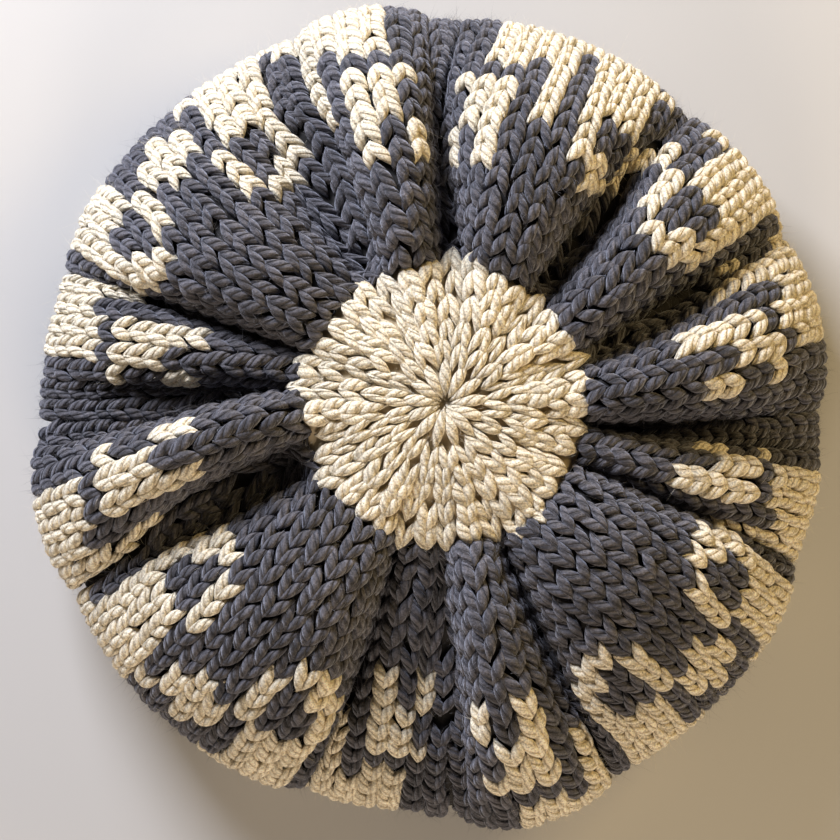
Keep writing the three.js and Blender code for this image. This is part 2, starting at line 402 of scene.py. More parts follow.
def pleat_net(index):
    """Points and outward directions over one pleat, on a grid of rows and columns of stitches."""
    count = pleats[index].stitches
    valley_middle = (1 + pleat_part) / 2
    turns = np.linspace(index - 1 + valley_middle - 0.5, index + valley_middle + 0.5, turn_samples)
    rows = net_lines(-row_margin, row_count + row_margin)
    sections = along_section(wall_stations(turns, 0), where_of_row(np.clip(rows, 0, row_count)))
    columns = net_lines(-column_margin, count + column_margin)
    points = np.empty((len(rows), len(columns), 3))
    lengths = np.empty(len(rows))
    widths = np.empty(len(rows))
    for i, line in enumerate(sections):
        run = np.concatenate([[0], np.cumsum(np.linalg.norm(np.diff(line, axis=0), axis=1))])
        start = np.interp(index - 1 + valley_middle, turns, run)
        end = np.interp(index + valley_middle, turns, run)
        width = np.clip((end - start) / count, least_width(rows[i]), most_stitch_width)
        reach_along = (start + end) / 2 + (columns - count / 2) * width
        for axis in range(3):
            points[i, :, axis] = np.interp(reach_along, run, line[:, axis])
        lengths[i] = end - start
        widths[i] = width
    for beyond in range(row_margin * net_fineness):
        first = row_margin * net_fineness
        points[beyond] = 2 * points[first] - points[2 * first - beyond]
        points[-1 - beyond] = 2 * points[-1 - first] - points[-1 - 2 * first + beyond]
        points[beyond, :, 2] = np.minimum(points[beyond, :, 2], points[first, :, 2] - under_disc)
    normals = np.cross(np.gradient(points, axis=0), np.gradient(points, axis=1))
    for _ in range(smoothings):
        normals[:, 1:-1] = (normals[:, :-2] + 2 * normals[:, 1:-1] + normals[:, 2:]) / 4
    normals /= np.linalg.norm(normals, axis=2, keepdims=True).clip(1e-12)
    return Net(points, normals, count, lengths, widths)


nets = [pleat_net(index) for index in range(len(pleats))]
row_in_pattern = 10
widths_there = [net.widths[(row_in_pattern + row_margin) * net_fineness] for net in nets]
print("stitches are", round(float(np.mean(widths_there)) / MM, 1), "mm wide at row", row_in_pattern)


def on_net(net, column, row):
    """The net's point and direction at any column and row, between its nodes."""
    x = np.clip((column + column_margin) * net_fineness, 0, net.points.shape[1] - 1.001)
    y = np.clip((row + row_margin) * net_fineness, 0, net.points.shape[0] - 1.001)
    xi, yi = x.astype(int), y.astype(int)
    fx, fy = (x - xi)[..., None], (y - yi)[..., None]
    corners = []
    for grid in (net.points, net.normals):
        near = lerp(grid[yi, xi], grid[yi, xi + 1], fx)
        far = lerp(grid[yi + 1, xi], grid[yi + 1, xi + 1], fx)
        corners.append(lerp(near, far, fy))
    return corners


# %% [markdown]
# One leg of a stitch is the shape that is repeated thousands of times, so it has few faces: a sphere of
# ten sides, stretched along a slanting path. A stitch is two such legs that lean apart. Its point sits
# on top of the stitch before it and its two ends dive under the stitch after it. The cream yarn is the
# bulkier one, so its stitches are a little larger and stand a little prouder.
# Each vertex also remembers where it lies on the strand, as a direction round it and a count of turns
# of the ply. The wool material draws the twisted plies from that.

# %% The leg of a stitch
nominal_width = 7.5 * MM
strand_half_width = 1.8 * MM
strand_half_height = 1.7 * MM
strand_taper = 0.9
ply_pitch = 14 * MM
Template = namedtuple("Template", "across along proud strand triangles")


def leg_path(t, side):
    """The middle of one leg, from the stitch's point to its open end, on flat cloth."""
    x = side * nominal_width * (-0.05 + 0.57 * t)
    y = stitch_height * (-0.2 + 1.68 * t)
    z = MM * (0.45 + 1.0 * np.sin(np.pi * t) - 1.1 * t)
    return np.stack([x, y, z], axis=-1)


def points_and_triangles(bm):
    """A bmesh as arrays, sorted because a new sphere's faces have no fixed order. The bmesh is freed."""
    bmesh.ops.triangulate(bm, faces=bm.faces[:])
    bm.verts.index_update()
    points = np.array([vertex.co for vertex in bm.verts])
    triangles = np.array(sorted([vertex.index for vertex in face.verts] for face in bm.faces))
    bm.free()
    return points, triangles


def strand_template(path, sides, rings, half_width=strand_half_width, half_height=strand_half_height):
    """A length of yarn along a path, with blunt ends, in stitch units."""
    bm = bmesh.new()
    bmesh.ops.create_uvsphere(bm, u_segments=sides, v_segments=rings, radius=1)
    sphere, triangles = points_and_triangles(bm)
    t = np.arccos(np.clip(-sphere[:, 2], -1, 1)) / np.pi
    round_it = np.arctan2(sphere[:, 1], sphere[:, 0])
    step = 0.01
    forward = path(t + step) - path(t - step)
    forward /= np.linalg.norm(forward, axis=1, keepdims=True)
    sideways = np.cross(forward, [0, 0, 1])
    sideways /= np.linalg.norm(sideways, axis=1, keepdims=True)
    inward = np.cross(forward, sideways)
    size = np.sin(np.pi * t).clip(0, 1)[:, None] ** strand_taper
    place = path(t)
    place = place + size * half_width * np.cos(round_it)[:, None] * sideways
    place = place + size * half_height * np.sin(round_it)[:, None] * inward
    length = np.linalg.norm(path(np.array([1.0])) - path(np.array([0.0])))
    strand = np.column_stack([np.cos(round_it), np.sin(round_it), t * length / ply_pitch])
    across = place[:, 0] / nominal_width
    along = place[:, 1] / stitch_height
    return Template(across, along, place[:, 2], strand, triangles)


def joined(parts):
    """One template or batch from several of them, with their triangles numbered on."""
    first = np.cumsum([0] + [len(part.strand) for part in parts[:-1]])
    parts = [part._replace(triangles=part.triangles + start) for part, start in zip(parts, first)]
    return type(parts[0])(*(np.concatenate(column) for column in zip(*parts)))


def stitch_template(sides, rings, growth=1.0, lift=0.0, stretch=1.0):
    half_width, half_height = strand_half_width * growth, strand_half_height * growth
    legs = [
        strand_template(partial(leg_path, side=side), sides, rings, half_width, half_height)
        for side in (-1, 1)
    ]
    stitch = joined(legs)
    return stitch._replace(proud=stitch.proud + lift, along=stitch.along * stretch)


fine_stitch = stitch_template(10, 8)
cream_stitch = stitch_template(10, 8, growth=1.08, lift=0.35 * MM)
plain_stitch = stitch_template(6, 5)
print("a stitch has", len(fine_stitch.triangles), "triangles, a hidden one", len(plain_stitch.triangles))

# %% [markdown]
# A piece of knitting is one joined mesh, filled from arrays, which is far quicker than thousands of
# objects. Every stitch gets a small lean, shift and change of size, since no two stitches of a hand
# knitter are alike, and a tone of its own.

# %% From templates to a mesh
Batch = namedtuple("Batch", "points triangles strand tone")


def mesh_from_arrays(name, points, triangles, strand, tone):
    mesh = bpy.data.meshes.new(name)
    mesh.vertices.add(len(points))
    mesh.vertices.foreach_set("co", points.astype(np.float32).ravel())
    mesh.loops.add(len(triangles) * 3)
    mesh.loops.foreach_set("vertex_index", triangles.astype(np.int32).ravel())
    mesh.polygons.add(len(triangles))
    mesh.polygons.foreach_set("loop_start", np.arange(0, len(triangles) * 3, 3, dtype=np.int32))
    mesh.polygons.foreach_set("use_smooth", np.ones(len(triangles), dtype=bool))
    mesh.update(calc_edges=True)
    mesh.attributes.new("strand", "FLOAT_VECTOR", "POINT").data.foreach_set(
        "vector", strand.astype(np.float32).ravel())
    mesh.attributes.new("tone", "FLOAT", "POINT").data.foreach_set("value", tone.astype(np.float32))
    return mesh


def joined_piece(name, batches, material):
    mesh = mesh_from_arrays(name, *joined(batches))
    print(name, len(mesh.polygons), "triangles")
    return new_object(name, mesh, material)


def numbered_copies(triangles, size, count):
    """The triangles of copies whose points, as many as size says, follow each other."""
    return (triangles + (np.arange(count) * size)[:, None, None]).reshape(-1, 3)


def random_tones(size, count):
    """One tone for each copy, repeated for its points."""
    return np.repeat(rng.normal(0, 1, count).clip(-2, 2), size)


lean_spread = 0.06
growth_spread = 0.05
sideways_spread = 0.03  # of a stitch
lengthways_spread = 0.05  # of a stitch
lift_spread = 0.22 * MM


def spread_stitches(template, columns, rows, place):
    """Copies of a template at whole columns and rows, through the function that places them."""
    count, size = len(columns), len(template.across)
    lean = rng.normal(0, lean_spread, (count, 1))
    wider = 1 + rng.normal(0, growth_spread, (count, 1))
    across = template.across * wider + lean * template.along + rng.normal(0, sideways_spread, (count, 1))
    longer = 1 + rng.normal(0, growth_spread, (count, 1))
    along = template.along * longer + rng.normal(0, lengthways_spread, (count, 1))
    lift = template.proud + rng.normal(0, lift_spread, (count, 1))
    points, normals = place(columns[:, None] + 0.5 + across, rows[:, None] + 1 - along)
    points = (points + normals * lift[..., None]).reshape(-1, 3)
    triangles = numbered_copies(template.triangles, size, count)
    strand = np.tile(template.strand, (count, 1))
    strand[:, 2] += np.repeat(rng.random(count), size)
    return Batch(points, triangles, strand, random_tones(size, count))


# %% [markdown]
# The chart. Stranded knitting is worked from a chart like this one, a letter for each stitch. It is half
# of a repeat, from the middle of the plain gap (left) to the middle of the small cross (right), and the
# knitter mirrors it. The first line is the row nearest the crown.
# Gathering slides the pattern along the cloth: in a valley it is drawn towards the crown. So each pleat
# also says how many columns and rows the chart has slid there, the rows on its one side, its middle and
# its other side.

# %% The chart of the pattern
chart = [
    "..X.X....XX...",
    "..X.X...XX.X..",
    "...XX...X..X..",
    "...XX.X.X..X.X",
    "..XXX.X.XXX.XX",
    "......X.XXX.XX",
    "...XX.X.XXX..X",
    "...XXXX.XXX...",
    "...XXXX.XXXX..",
    "...XXXXXXXX...",
    "...XXXXXXXX...",
]
first_chart_row = 8
half_repeat = len(chart[0]) - 1

slides = [
    (0, (2, 2, 3)), (0, (2, 2, 2)), (1, (2, 3, 3)), (1, (3, 3, 3)), (1, (2, 1, 0)), (1, (3, 3, 3)),
    (0, (3, 3, 3)), (0, (3, 1, 1)), (0, (2, 2, 2)), (0, (1, 1, 1)), (0, (1, 1, 1)), (0, (3, 3, 2)),
]
middle_third = (0.41, 0.6)  # shares of the pleat's stitches
first_columns = np.cumsum([0] + [pleat.stitches for pleat in pleats[:-1]])
print("a repeat is", 2 * half_repeat, "stitches round and", len(chart), "rows high")


def is_cream(index, column, row):
    columns_slid, rows_slid = slides[index]
    part = int(np.searchsorted(middle_third, (column + 0.5) / pleats[index].stitches))
    line = row - first_chart_row + rows_slid[part]
    if not 0 <= line < len(chart):
        return False
    step = (first_columns[index] + column + columns_slid) % (2 * half_repeat)
    return chart[line][min(step, 2 * half_repeat - step)] == "X"


least_span = 0.6  # of a stitch's width, under which the fold has squeezed it out of sight


def shown_stitches(index, first_row, last_row):
    """Columns and rows of the stitches of a pleat that the valleys leave room for."""
    net = nets[index]
    shown = []
    for row in range(first_row, last_row):
        line = (row + row_margin) * net_fineness + net_fineness // 2
        for column in range(-extra_columns, net.count + extra_columns):
            off_middle = abs(column + 0.5 - net.count / 2) * net.widths[line]
            first = (column + column_margin) * net_fineness
            span = np.linalg.norm(net.points[line, first + net_fineness] - net.points[line, first])
            if off_middle <= net.lengths[line] / 2 and span > least_span * net.widths[line]:
                shown.append((column, row, is_cream(index, column, row)))
    return shown


def stitches_of_colour(index, first_row, last_row, cream):
    """Columns and rows of the cream or the charcoal stitches of a pleat, as two arrays."""
    shown = shown_stitches(index, first_row, last_row)
    chosen = np.array([stitch[:2] for stitch in shown if stitch[2] == cream], dtype=float)
    return chosen.reshape(-1, 2).T


def knit(name, template, first_row, last_row, cream, material):
    batches = []
    for index, net in enumerate(nets):
        columns, rows = stitches_of_colour(index, first_row, last_row, cream)
        if len(columns):
            batches.append(spread_stitches(template, columns, rows, partial(on_net, net)))
    return joined_piece(name, batches, material)


# %% [markdown]
# The wool. Four plies twist round each other, so the strand shows slanting ridges with shaded grooves
# between them, and each ply is a bundle of fine fibres. Modelled plies would take too many faces, so they
# are colour and bump: the ridges come from the strand attribute, the fibres from a noise that is stretched
# along the ply. The grooves get a darker colour, which is painted shade between the plies. Sheen gives
# the soft bright edge of wool.

# %% Helpers for shader nodes
def add_node(tree, kind, **settings):
    made = tree.nodes.new(kind)
    for key, value in settings.items():
        setattr(made, key, value)
    return made


def add_maths(tree, operation, first, second=None):
    """A Math node whose inputs are numbers or the outputs of other nodes."""
    made = add_node(tree, "ShaderNodeMath", operation=operation)
    for socket, value in zip(made.inputs, (first, second)):
        if value is None:
            continue
        if isinstance(value, (int, float)):
            socket.default_value = value
        else:
            tree.links.new(value, socket)
    return made.outputs[0]


# %% Plies, fibres and grain
half_plies = 2  # the sine makes two ridges for each
fibre_spread = 1.2
fibre_run = 4.0
grain_scale = 1500


def twisted_plies(tree, strand):
    """The angle round the strand that turns with the plies, and the plies' ridges from 0 to 1."""
    maths = partial(add_maths, tree)
    angle = maths("ARCTAN2", strand[1], strand[0])
    twisted = maths("ADD", angle, maths("MULTIPLY", strand[2], 2 * math.pi))
    return twisted, maths("ABSOLUTE", maths("SINE", maths("MULTIPLY", twisted, half_plies)))


def fibres_along(tree, twisted, run):
    """A noise that is stretched along the plies."""
    maths = partial(add_maths, tree)
    place = add_node(tree, "ShaderNodeCombineXYZ")
    tree.links.new(maths("MULTIPLY", maths("COSINE", twisted), fibre_spread), place.inputs[0])
    tree.links.new(maths("MULTIPLY", maths("SINE", twisted), fibre_spread), place.inputs[1])
    tree.links.new(maths("MULTIPLY", run, fibre_run), place.inputs[2])
    fibres = add_node(tree, "ShaderNodeTexNoise")
    set_inputs(fibres, {"Scale": 1.6, "Detail": 4, "Roughness": 0.65})
    tree.links.new(place.outputs[0], fibres.inputs["Vector"])
    return fibres.outputs["Fac"]


def fine_grain(tree):
    """A fine noise all over, for the fuzz that is too small to see as fibres."""
    place = add_node(tree, "ShaderNodeTexCoord")
    grain = add_node(tree, "ShaderNodeTexNoise")
    set_inputs(grain, {"Scale": grain_scale, "Detail": 3})
    tree.links.new(place.outputs["Object"], grain.inputs["Vector"])
    return grain.outputs["Fac"]


# %% Wool material
def shaded_colour(tree, ridges, painted_groove_shade, colour, shade):
    """The ridges' colour and the grooves' painted shade, multiplied by a shade that varies at random."""
    base = add_node(tree, "ShaderNodeMix", data_type="RGBA")
    # The groove colour is painted shade between the plies; the ridges take the wool's own colour.
    set_inputs(base, {"A": (*painted_groove_shade, 1), "B": (*colour, 1)})
    tree.links.new(ridges, base.inputs["Factor"])
    grey = add_node(tree, "ShaderNodeCombineColor")
    for socket in grey.inputs[:3]:
        tree.links.new(shade, socket)
    shaded = add_node(tree, "ShaderNodeMix", data_type="RGBA", blend_type="MULTIPLY")
    set_inputs(shaded, {"Factor": 1})
    tree.links.new(base.outputs["Result"], shaded.inputs["A"])
    tree.links.new(grey.outputs[0], shaded.inputs["B"])
    return shaded.outputs["Result"]


def wool(name, colour, painted_groove_shade, tone_share, sheen_tint, contrast=3.2, relief=0.75 * MM):
    material = bpy.data.materials.new(name)
    material.use_nodes = True
    tree = material.node_tree
    maths = partial(add_maths, tree)
    tone = add_node(tree, "ShaderNodeAttribute", attribute_name="tone")
    strand = add_node(tree, "ShaderNodeAttribute", attribute_name="strand")
    parts = add_node(tree, "ShaderNodeSeparateXYZ")
    tree.links.new(strand.outputs["Vector"], parts.inputs[0])
    twisted, ridges = twisted_plies(tree, parts.outputs)
    fibres = fibres_along(tree, twisted, parts.outputs[2])
    grain = fine_grain(tree)

    lightness = maths("ADD", 1.0, maths("MULTIPLY", tone.outputs["Fac"], tone_share))
    streak = maths("MULTIPLY", maths("SUBTRACT", fibres, 0.5), contrast)
    streak = maths("MAXIMUM", 0.3, maths("ADD", 1.0, streak))
    speckle = maths("MULTIPLY", grain, 2.0)
    shade = maths("MULTIPLY", maths("MULTIPLY", lightness, streak), speckle)

    height = maths("ADD", maths("POWER", ridges, 0.6), maths("MULTIPLY", fibres, 0.7))
    height = maths("ADD", height, maths("MULTIPLY", grain, 0.7))
    bump = add_node(tree, "ShaderNodeBump")
    set_inputs(bump, {"Strength": 0.9, "Distance": relief})
    tree.links.new(height, bump.inputs["Height"])

    shader = tree.nodes["Principled BSDF"]
    set_inputs(shader, {"Roughness": 0.92, "Specular IOR Level": 0.25})
    set_inputs(shader, {"Sheen Weight": 0.42, "Sheen Roughness": 0.5, "Sheen Tint": (*sheen_tint, 1)})
    tree.links.new(shaded_colour(tree, ridges, painted_groove_shade, colour, shade), shader.inputs["Base Color"])
    tree.links.new(bump.outputs["Normal"], shader.inputs["Normal"])
    return material


# %% Wools of the hat
cream_sheen = (1.0, 0.96, 0.88)
cool_sheen = (0.8, 0.84, 1.0)
# The second colour of each wool, the darker one, is painted shade in the grooves between its plies.
cream_wool = wool(
    "cream_wool", (0.91, 0.82, 0.64), (0.68, 0.55, 0.37), 0.06, cream_sheen, contrast=0.6, relief=0.7 * MM
)
charcoal_wool = wool("charcoal_wool", (0.112, 0.105, 0.115), (0.03, 0.026, 0.026), 0.15, cool_sheen)
# These fibres are lighter than the charcoal yarn: painted light that fine fibres catch.
charcoal_down_painted_light = wool("charcoal_down_painted_light", (0.22, 0.21, 0.22), (0.2, 0.19, 0.2), 0.15, (0.9, 0.92, 1.0))
cream_down = wool("cream_down", (0.86, 0.80, 0.68), (0.8, 0.72, 0.58), 0.05, (1.0, 0.98, 0.92))
print("wools:", cream_wool.name, charcoal_wool.name, charcoal_down_painted_light.name, cream_down.name)

# %% [markdown]
# The body is knitted in four pieces: the plain rows beside the disc, the charcoal ground of the pattern,
# the cream pattern itself, and the underside, whose stitches are hidden and so have fewer faces.

# %% Stitches of the body
pattern_start = first_chart_row - max(max(rows_slid) for _, rows_slid in slides)
pattern_end = first_chart_row + len(chart)
underside_row = round(rim_row) + 2
plain_rows = knit("plain_rows", fine_stitch, 0, first_chart_row, False, charcoal_wool)
ground_rows = knit("ground_rows", fine_stitch, first_chart_row, underside_row, False, charcoal_wool)
pattern_rows = knit("pattern_rows", cream_stitch, pattern_start, pattern_end, True, cream_wool)
underside_rows = knit("underside_rows", plain_stitch, underside_row, row_count, False, charcoal_wool)

# %% [markdown]
# The disc. The knitter takes stitches off every other row until a ring of them is left, and draws the
# yarn through it. So the disc has rows of fewer and fewer stitches, drawn long, and a star of long legs
# where they are pulled together. Closed rings stand in for the spiral of real rounds, because each then
# keeps its own size. The disc is a low dome whose edge rises and falls with the first row of the pleats.

# %% Surface of the disc
edge_turns = np.linspace(0, len(pleats), 1440, endpoint=False)
edge_where = np.linspace(0, 2, 9)  # the first stations of the wall
edge_rings = along_section(wall_stations(edge_turns, 0), edge_where)
from_middle = edge_rings[..., :2] - crown_shift
edge_angles = np.degrees(np.arctan2(from_middle[..., 1], from_middle[..., 0]))
edge_distances = np.hypot(from_middle[..., 0], from_middle[..., 1])
disc_middle_height = lerp(rim_height, crown_height, crown_section[0].up) + disc_rise
disc_dome = 2.2
edge_slope = 0.5


def smooth_heights(ring, spread=4):
    """Heights round one ring at whole degrees, each the mean over a few degrees on both sides."""
    order = np.argsort(edge_angles[ring])
    heights = np.interp(np.arange(360), edge_angles[ring][order], edge_rings[ring, order, 2], period=360)
    return np.mean([np.roll(heights, shift) for shift in range(-spread, spread + 1)], axis=0)


height_table = [smooth_heights(ring) for ring in range(len(edge_where))]
print("the disc's edge dips to", round(height_table[0].min() / MM), "mm above the floor")


def ring_heights(angle, ring):
    return np.interp(angle, np.arange(360), height_table[ring], period=360)


def disc_height(angle, distance):
    """Height of the disc's surface, and of the body's just outside it."""
    share = np.clip(distance / disc_radius, 0, 1)
    edge = ring_heights(angle, 0)
    height = disc_middle_height - (disc_middle_height - edge) * share**disc_dome
    for ring in range(1, len(edge_where)):
        inner, outer = edge_distances[ring - 1].mean(), edge_distances[ring].mean()
        step = np.clip((distance - inner) / (outer - inner), 0, 1)
        height = height + (ring_heights(angle, ring) - ring_heights(angle, ring - 1)) * step
    least_height = edge - edge_slope * (distance - disc_radius)
    return np.where(distance > disc_radius, np.maximum(height, least_height), height)


def disc_point(angle, distance):
    flat = crown_shift + direction(angle) * distance[..., None]
    return np.concatenate([flat, disc_height(angle, distance)[..., None]], axis=-1)


def on_disc(angle, distance):
    """The disc's point and direction, which comes from the points a step to each side."""
    step = 1.5 * MM
    least_distance = 4 * MM
    turn = np.degrees(step / np.maximum(distance, least_distance))
    outwards = disc_point(angle, distance + step) - disc_point(angle, distance - step)
    sideways = disc_point(angle + turn, distance) - disc_point(angle - turn, distance)
    normal = np.cross(outwards, sideways)
    return disc_point(angle, distance), normal / np.linalg.norm(normal, axis=-1, keepdims=True)


# %% Stitches of the disc
disc_row_height = 6.3 * MM
disc_rings = [(18, 4), (26, 13), (26, 12), (37, 3), (37, 4)]  # stitches, degrees of the first
ragged_edge = 0.8 * MM
wavy_edge = 1.3 * MM
disc_overhang = 0.9 * MM
disc_stitch = stitch_template(10, 8, growth=1.15, stretch=1.14)


def disc_stitch_ring(row, count, start):
    """One round of stitches that point outwards. The outer rounds follow the disc's wavy, ragged edge."""
    outer = disc_radius + disc_overhang - (len(disc_rings) - 1 - row) * disc_row_height
    place_round = np.arange(count) / count * 2 * math.pi
    waves = np.sin(5 * place_round + 1.1) + np.sin(8 * place_round + 4.0)  # long ones and short ones
    ragged = rng.normal(0, ragged_edge, count) + wavy_edge * waves * row / (len(disc_rings) - 1)

    def on_ring(column, along):
        angle = start + column / count * 360
        return on_disc(angle, outer + ragged[:, None] + (along - 1) * disc_row_height)

    return spread_stitches(disc_stitch, np.arange(count, dtype=float), np.zeros(count), on_ring)


disc_batches = [disc_stitch_ring(row, *ring) for row, ring in enumerate(disc_rings)]


def petal_path(t):
    """A long leg of the star in the middle, from its outer end inwards."""
    return np.stack([0 * t, stitch_height * 1.95 * t, MM * (0.2 + 1.0 * np.sin(np.pi * t))], axis=-1)


petal = strand_template(petal_path, 10, 9, half_width=1.95 * MM)
petal_count = 13
petal_reach = 14.8 * MM
petal_turn = 7  # degrees


def place_petals():
    """Petals lie straight across their ray, so their width isn't bent round the middle."""
    angle = np.radians(petal_turn + np.arange(petal_count) / petal_count * 360)[:, None]
    longer = 1 + rng.normal(0, growth_spread, (petal_count, 1))
    inward = petal_reach - petal.along * stitch_height * longer
    sideways = petal.across * nominal_width
    x = np.cos(angle) * inward - np.sin(angle) * sideways
    y = np.sin(angle) * inward + np.cos(angle) * sideways
    height = disc_height(np.degrees(np.arctan2(y, x)), np.hypot(x, y)) + petal.proud
    points = np.stack([x + crown_shift[0], y + crown_shift[1], height], axis=-1).reshape(-1, 3)
    size = len(petal.strand)
    triangles = numbered_copies(petal.triangles, size, petal_count)
    strand = np.tile(petal.strand, (petal_count, 1))
    return Batch(points, triangles, strand, random_tones(size, petal_count))


disc_batches.append(place_petals())
disc_stitches = joined_piece("disc_stitches", disc_batches, cream_wool)

# %% [markdown]
# Behind the stitches lies the cloth itself: the loops' backs and the strands carried behind them. It is
# a closed wall between the stitches and the inside of the hat. A sheet with a Solidify modifier would
# cross itself in the sharp valleys. So one grid is bent over the section, down the outside and back up
# the inside, where both faces come from the same folds. Its colour is much darker than the wool's: the
# cloth's own colour, darkened with painted shade where it shows in the gaps between the stitches.

# %% Cloth behind the stitches
def triangle_count(mesh):
    return sum(len(face.vertices) - 2 for face in mesh.polygons)


def mapped_grid(name, across_steps, along_steps, place, material):
    """A grid whose squares are placed by a function of two shares, with its doubled edges merged."""
    bm = bmesh.new()
    bmesh.ops.create_grid(bm, x_segments=across_steps, y_segments=along_steps, size=0.5)
    flat = np.array([vertex.co for vertex in bm.verts])
    placed = place(flat[:, 0] + 0.5, flat[:, 1] + 0.5)
    for vertex, point in zip(bm.verts, placed):
        vertex.co = point
    bmesh.ops.remove_doubles(bm, verts=bm.verts[:], dist=0.002 * MM)
    bmesh.ops.recalc_face_normals(bm, faces=bm.faces[:])
    mesh = bpy.data.meshes.new(name)
    bm.to_mesh(mesh)
    bm.free()
    mesh.polygons.foreach_set("use_smooth", np.ones(len(mesh.polygons), dtype=bool))
    print(name, triangle_count(mesh), "triangles")
    return new_object(name, mesh, material)


behind_stitches = 1.4 * MM
cloth_turns = 300
cloth_rows = 80
turn_line = np.linspace(0, len(pleats), cloth_turns + 1)
turn_line[-1] = 0
half_rows = cloth_rows // 2
down_section = np.linspace(0, last_station, half_rows)
outside_cloth = along_section(wall_stations(turn_line, behind_stitches), down_section)
inside_cloth = along_section(wall_stations(turn_line, body_wall), down_section[::-1])
cloth_rings = np.concatenate([outside_cloth, inside_cloth, outside_cloth[:1]])


def on_cloth(across, along):
    column = np.round(across * cloth_turns).astype(int)
    row = np.round(along * cloth_rows).astype(int)
    return cloth_rings[row, column]


def backing(name, colour):
    """The bumpy back of the stitches, where every loop is a small mound, darkened by painted shade."""
    material = plain_material(name, colour, 0.95)
    tree = material.node_tree
    place = add_node(tree, "ShaderNodeTexCoord")
    loops = add_node(tree, "ShaderNodeTexVoronoi")
    set_inputs(loops, {"Scale": 260})
    tree.links.new(place.outputs["Object"], loops.inputs["Vector"])
    bump = add_node(tree, "ShaderNodeBump", invert=True)
    set_inputs(bump, {"Strength": 1, "Distance": 1.2 * MM})
    tree.links.new(loops.outputs["Distance"], bump.inputs["Height"])
    tree.links.new(bump.outputs["Normal"], tree.nodes["Principled BSDF"].inputs["Normal"])
    return material


# Both colours are darker than their wool: painted shade where the cloth shows between the stitches.
charcoal_backing_painted_shade = backing("charcoal_backing_painted_shade", (0.022, 0.02, 0.02))
cream_backing_painted_shade = backing("cream_backing_painted_shade", (0.58, 0.47, 0.31))
body_cloth = mapped_grid("body_cloth", cloth_turns, cloth_rows, on_cloth, charcoal_backing_painted_shade)

# %% Cloth of the disc
disc_turns = 180
disc_gap = 0.3 * MM
# Each place is a share of the disc's radius and a depth in mm under its surface.
disc_top = [(0, 1.2), (0.2, 0.6), (0.4, 0.6), (0.6, 0.6), (0.8, 0.6), (1.0, 0.9)]
disc_profile = np.array(disc_top + [(share, disc_wall / MM) for share, _ in disc_top[::-1]])


def along_profile(profile, along):
    """The two columns of a profile, at the row that each share along it falls on."""
    return profile[np.round(along * (len(profile) - 1)).astype(int)].T


def on_disc_cloth(across, along):
    share, depth = along_profile(disc_profile, along)
    angle = np.round(across * disc_turns) % disc_turns / disc_turns * 360
    points = disc_point(angle, share * (disc_radius - disc_gap))
    points[:, 2] -= depth * MM
    return points


disc_cloth = mapped_grid("disc_cloth", disc_turns, len(disc_profile) - 1, on_disc_cloth, cream_backing_painted_shade)

# %% [markdown]
# The band is knit one, purl one ribbing: columns of V stitches stand proud, and between them the purl
# bumps lie in a furrow. It is the same on both sides, so the inside gets ribs too.

# %% Band
band_rows = 4
band_hem = 2.2 * MM  # left free, so that the lowest stitches don't reach into the floor
band_row_height = (band_height - band_hem) / band_rows
band_stitch_seat = 1.0 * MM


def on_band(angle, height, facing):
    """A place on the outside (facing 1) or the inside (facing -1) of the band."""
    rib = np.cos(np.radians(angle) * rib_count)
    depth = rib_depth * (0.5 - 0.5 * rib * facing)
    if facing > 0:
        distance = band_radius - band_stitch_seat - depth
    else:
        distance = band_radius - band_wall + band_stitch_seat + depth
    way = np.concatenate([direction(angle), 0 * angle[..., None]], axis=-1)
    points = way * distance[..., None]
    points[..., 2] = height
    return points, way * facing


def band_side(facing, template, shift):
    """The knit or the purl stitches of one side, shifted round by a share of a rib."""
    columns = np.tile(np.arange(rib_count, dtype=float), band_rows)
    rows = np.repeat(np.arange(band_rows, dtype=float), rib_count)
    knit_width = 0.62  # of a rib

    def place(column, row):
        rib = np.floor(column)
        angle = (rib + shift + (column - rib - 0.5) * knit_width * facing) / rib_count * 360
        return on_band(angle, band_height - row * band_row_height, facing)

    return spread_stitches(template, columns, rows, place)


def purl_path(t):
    """The bump of a purl stitch, a short arch across the furrow."""
    x = nominal_width * (t - 0.5) * 0.95
    y = stitch_height * (0.5 - 0.2 * np.sin(np.pi * t))
    z = MM * (0.2 + 0.6 * np.sin(np.pi * t))
    return np.stack([x, y, z], axis=-1)


purl_bump = strand_template(purl_path, 6, 6, half_width=1.3 * MM, half_height=1.3 * MM)
band_batches = [
    band_side(1, plain_stitch, 0),
    band_side(1, purl_bump, 0.5),
    band_side(-1, plain_stitch, 0.5),
    band_side(-1, purl_bump, 0),
]
band_stitches = joined_piece("band_stitches", band_batches, charcoal_wool)

# %% Cloth of the band
band_turns = rib_count * 8
cloth_bottom = 0.6 * MM
cloth_top = band_height - 0.5 * MM
band_profile = np.array([
    (1, cloth_bottom), (1, cloth_top), (-1, cloth_top), (-1, cloth_bottom), (1, cloth_bottom)
])


def on_band_cloth(across, along):
    """Up the outside (facing 1) of the band and down its inside (facing -1)."""
    facing, height = along_profile(band_profile, along)
    angle = np.round(across * band_turns) % band_turns / band_turns * 360
    outer, _ = on_band(angle, height, 1)
    inner, _ = on_band(angle, height, -1)
    return np.where(facing[:, None] > 0, outer, inner)


band_cloth = mapped_grid("band_cloth", band_turns, len(band_profile) - 1, on_band_cloth, charcoal_backing_painted_shade)

# %% [markdown]
# Wool is hairy. Thousands of single fibres stand out of the yarn, and round the outline they make the
# soft halo by which one knows wool at once. A particle system could grow them as hair, but only meshes
# reach the visual model. So each fibre is a thin bent spike with three sides.

# %% Loose fibres
fibre_thickness = 0.055 * MM
fibre_length = 2.8 * MM
length_spread = 0.4
length_limits = (0.4, 1.8)
upright_range = (0.35, 1)
slant_range = (0.2, 1.2)
bend_spread = 0.8
bend_share = 0.6


